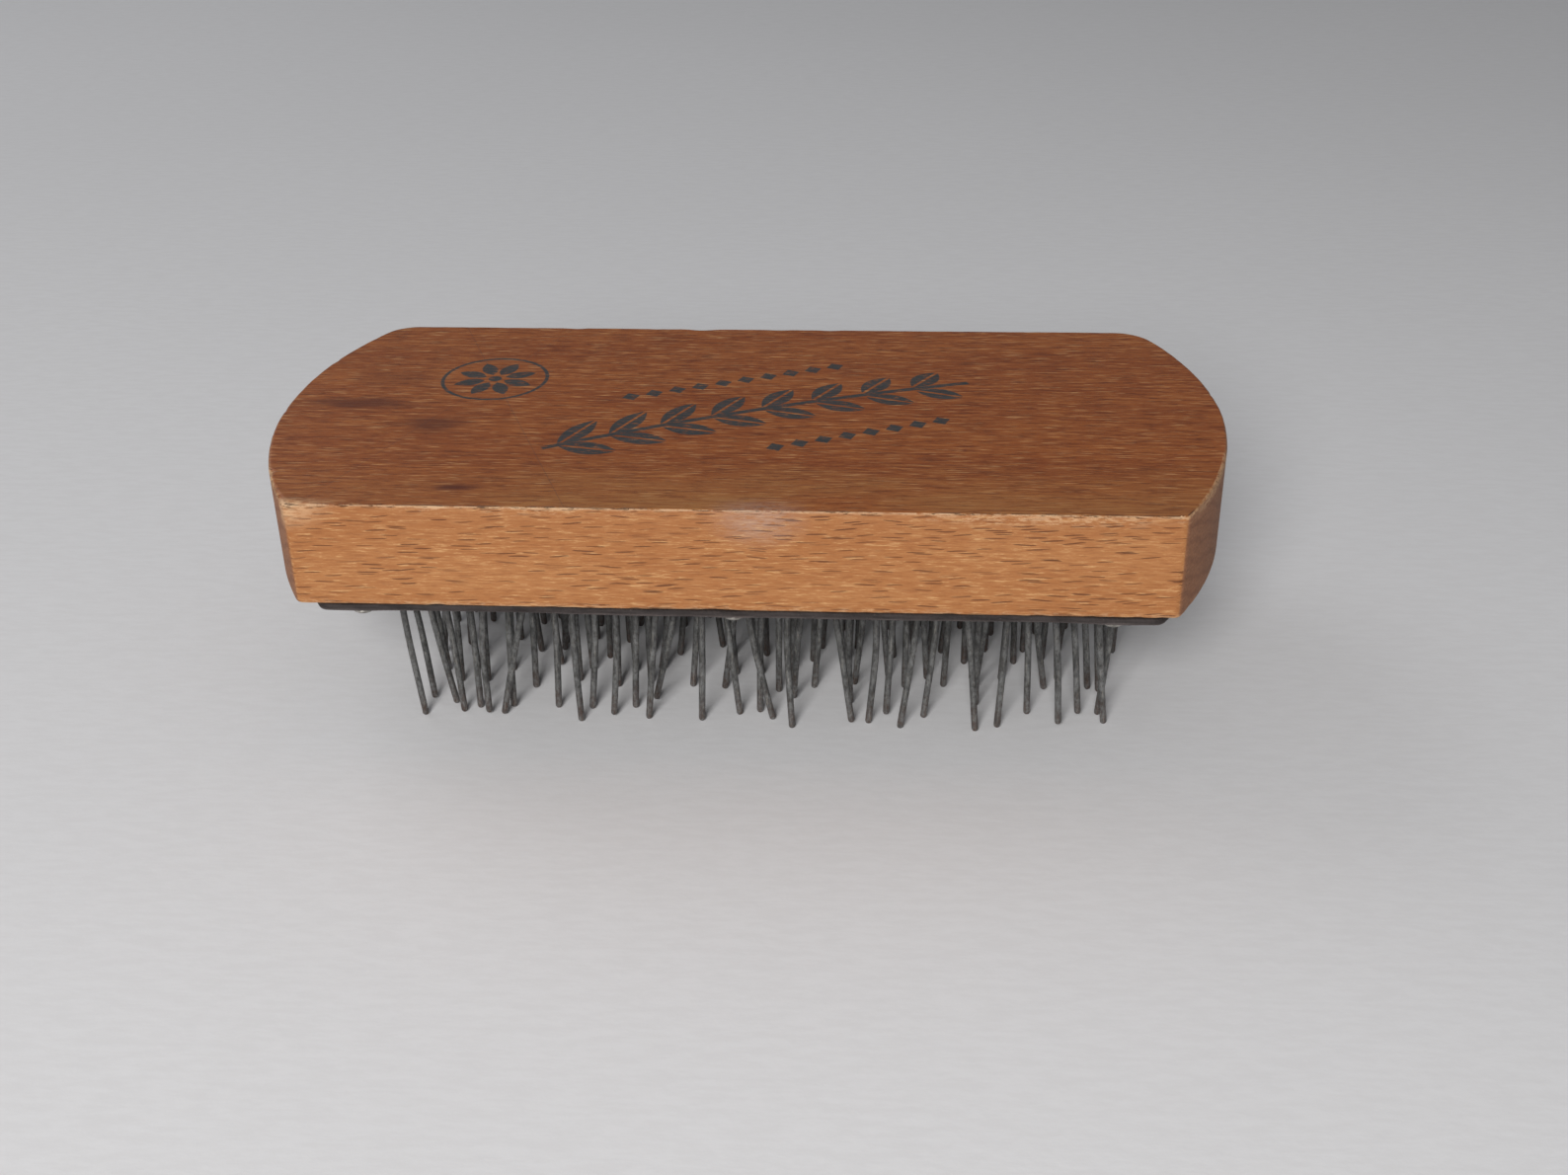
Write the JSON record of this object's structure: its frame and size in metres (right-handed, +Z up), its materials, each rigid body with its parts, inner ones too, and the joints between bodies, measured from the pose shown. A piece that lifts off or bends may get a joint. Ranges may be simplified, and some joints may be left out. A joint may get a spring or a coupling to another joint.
{
  "type": "wire clothes brush",
  "caption": "Hand brush for clothes: a flat wooden block with bowed ends, a thin tacked backing sheet under it and a field of steel wire teeth.",
  "frame": {"origin": "on the surface the tooth tips stand on, under the middle of the wooden block", "axes": "+X along the block to the right, +Y across it to the back, +Z up from the teeth to the block's broad top face"},
  "size_m": [0.1142, 0.054, 0.0322],
  "materials": {
    "wood_block": "satin varnish, worn",
    "wire_backing": "dull dark rubber, rubbed grey along its cut edge",
    "tack": "dull plated",
    "staple": "dull, mottled, a little rusty at the tips"
  },
  "bodies": {
    "root": {"wood_block": "wood_block", "wire_backing": "wire_backing", "tack_front_left": "tack", "tack_front_middle": "tack", "tack_front_right": "tack", "tack_back_left": "tack", "tack_back_middle": "tack", "tack_back_right": "tack", "staple_row1_01": "staple", "staple_row1_03": "staple", "staple_row1_05": "staple", "staple_row1_07": "staple", "staple_row1_09": "staple", "staple_row1_11": "staple", "staple_row1_13": "staple", "staple_row1_15": "staple", "staple_row1_17": "staple", "staple_row2_02": "staple", "staple_row2_04": "staple", "staple_row2_06": "staple", "staple_row2_08": "staple", "staple_row2_10": "staple", "staple_row2_12": "staple", "staple_row2_14": "staple", "staple_row2_16": "staple", "staple_row3_01": "staple", "staple_row3_03": "staple", "staple_row3_05": "staple", "staple_row3_07": "staple", "staple_row3_09": "staple", "staple_row3_11": "staple", "staple_row3_13": "staple", "staple_row3_15": "staple", "staple_row3_17": "staple", "staple_row4_02": "staple", "staple_row4_04": "staple", "staple_row4_06": "staple", "staple_row4_08": "staple", "staple_row4_10": "staple", "staple_row4_12": "staple", "staple_row4_14": "staple", "staple_row4_16": "staple", "staple_row5_01": "staple", "staple_row5_03": "staple", "staple_row5_05": "staple", "staple_row5_07": "staple", "staple_row5_09": "staple", "staple_row5_11": "staple", "staple_row5_13": "staple", "staple_row5_15": "staple", "staple_row5_17": "staple", "staple_row6_02": "staple", "staple_row6_04": "staple", "staple_row6_06": "staple", "staple_row6_08": "staple", "staple_row6_10": "staple", "staple_row6_12": "staple", "staple_row6_14": "staple", "staple_row6_16": "staple"}
  },
  "joints": []
}
